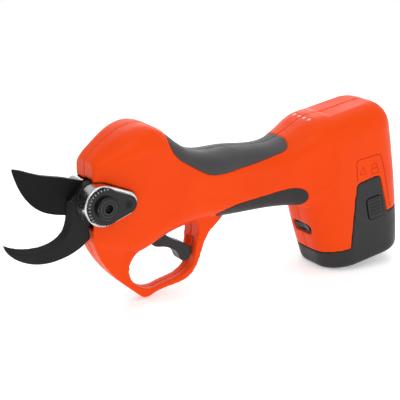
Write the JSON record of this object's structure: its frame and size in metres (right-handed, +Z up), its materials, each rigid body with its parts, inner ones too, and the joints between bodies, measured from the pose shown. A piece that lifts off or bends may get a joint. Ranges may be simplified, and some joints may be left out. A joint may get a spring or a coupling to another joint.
{
  "type": "battery electric pruner",
  "caption": "Hand-held battery pruner: powered curved blade against a fixed hook, in-line motor handle, guarded trigger and slide-out battery foot.",
  "frame": {"origin": "on the blade pivot's axis, in the tool's mid-plane", "axes": "+X back along the motor axis (blades point to -X), +Z up, -Y the tool's left side, which carries the hook blade and the lock plate"},
  "size_m": [0.2975, 0.0586, 0.1198],
  "materials": {
    "shell_orange": "satin moulded, fine grain",
    "grip_rubber": "satin, soft",
    "battery_plastic": "fine grain",
    "black_plastic": "satin",
    "blade_coating": "matt black low-friction coating",
    "machined_steel": "machined",
    "bright_steel": "polished",
    "frame_aluminium": "polished casting",
    "bronze": "sintered",
    "winding": "enamelled wire",
    "board": "solder mask",
    "lead": "wire insulation",
    "lens": "clear diffuser",
    "cell_wrap": "shrink sleeve",
    "holder_plastic": "plain",
    "nickel": "strip"
  },
  "bodies": {
    "body": {"left_shell": "shell_orange", "right_shell": "shell_orange", "upper_grip_left": "grip_rubber", "upper_grip_right": "grip_rubber", "lower_grip_left": "grip_rubber", "lower_grip_right": "grip_rubber", "shell_screws": "machined_steel", "hook_blade": "blade_coating", "hook_screws": "machined_steel", "head_frame": "frame_aluminium", "lock_plate": "blade_coating", "lock_screw": "machined_steel", "pivot_bolt": "machined_steel", "pivot_nut": "machined_steel", "pivot_bush": "bronze", "pinion_bearings": "bright_steel", "ring_gear": "machined_steel", "motor_plate": "machined_steel", "motor_can": "machined_steel", "motor_stator": "winding", "motor_end_cap": "black_plastic", "motor_bearings": "bright_steel", "motor_leads": "lead", "trigger_pin": "machined_steel", "trigger_spring": "machined_steel", "trigger_sensor": "board", "trigger_lead": "lead", "control_board": "board", "indicator_lenses": "lens", "power_switch_body": "black_plastic", "contact_block": "black_plastic"},
    "blade": {"cutting_blade": "blade_coating", "gear_sector": "machined_steel", "drive_pins": "machined_steel"},
    "output": {"bevel_pinion": "machined_steel", "planet_carrier": "machined_steel"},
    "planet_1": {"planet_gear_1": "machined_steel"},
    "planet_2": {"planet_gear_2": "machined_steel"},
    "planet_3": {"planet_gear_3": "machined_steel"},
    "rotor": {"motor_rotor": "machined_steel", "sun_gear": "machined_steel"},
    "finger_trigger": {"trigger": "black_plastic", "trigger_magnet": "nickel"},
    "rocker": {"power_rocker": "black_plastic"},
    "battery": {"battery_cap": "battery_plastic", "battery_case": "battery_plastic", "battery_screws": "machined_steel", "battery_cell_1": "cell_wrap", "battery_cell_2": "cell_wrap", "battery_cell_3": "cell_wrap", "battery_cell_4": "cell_wrap", "cell_holders": "holder_plastic", "cell_links": "nickel", "battery_board": "board", "battery_contacts": "nickel", "charge_jack": "black_plastic", "latch_spring_left": "machined_steel", "latch_spring_right": "machined_steel"},
    "latch_left": {"latch_button_left": "battery_plastic"},
    "latch_right": {"latch_button_right": "battery_plastic"}
  },
  "joints": [
    {"name": "blade_close", "type": "hinge", "parent": "body", "child": "blade", "pos_m": [0, 0, 0], "axis": [0, -1, 0], "range_deg": [0, 50]},
    {"name": "output_spin", "type": "hinge", "parent": "body", "child": "output", "pos_m": [0.03, 0, 0], "axis": [1, 0, 0], "range_deg": [0, 200]},
    {"name": "planet_1_spin", "type": "hinge", "parent": "output", "child": "planet_1", "pos_m": [0.065, 0.00825, 0], "axis": [1, 0, 0], "range_deg": [-534, 0]},
    {"name": "planet_2_spin", "type": "hinge", "parent": "output", "child": "planet_2", "pos_m": [0.065, -0.00413, 0.00714], "axis": [1, 0, 0], "range_deg": [-534, 0]},
    {"name": "planet_3_spin", "type": "hinge", "parent": "output", "child": "planet_3", "pos_m": [0.065, -0.00413, -0.00714], "axis": [1, 0, 0], "range_deg": [-534, 0]},
    {"name": "rotor_spin", "type": "hinge", "parent": "body", "child": "rotor", "pos_m": [0.1, 0, 0], "axis": [1, 0, 0], "range_deg": [0, 1000.5]},
    {"name": "trigger_pull", "type": "hinge", "parent": "body", "child": "finger_trigger", "pos_m": [0.046, 0, -0.027], "axis": [0, -1, 0], "range_deg": [0, 12], "stiffness_Nm_per_rad": 0.25, "springref_deg": -11.46},
    {"name": "power_tilt", "type": "hinge", "parent": "body", "child": "rocker", "pos_m": [0.16773, 0, -0.04382], "axis": [0.2807, 0, -0.9598], "range_deg": [-6, 6]},
    {"name": "battery_slide", "type": "slide", "parent": "body", "child": "battery", "axis": [0.1908, 0, -0.9816], "range_m": [0, 0.08]},
    {"name": "latch_left_press", "type": "slide", "parent": "battery", "child": "latch_left", "axis": [0, 1, 0], "range_m": [0, 0.0018], "stiffness_N_per_m": 600, "springref_m": -0.001},
    {"name": "latch_right_press", "type": "slide", "parent": "battery", "child": "latch_right", "axis": [0, -1, 0], "range_m": [0, 0.0018], "stiffness_N_per_m": 600, "springref_m": -0.001}
  ],
  "couplings": [
    {"joint": "output_spin", "follows": "blade_close", "ratio": 4},
    {"joint": "planet_1_spin", "follows": "blade_close", "ratio": -10.667},
    {"joint": "planet_2_spin", "follows": "blade_close", "ratio": -10.667},
    {"joint": "planet_3_spin", "follows": "blade_close", "ratio": -10.667},
    {"joint": "rotor_spin", "follows": "blade_close", "ratio": 20}
  ]
}
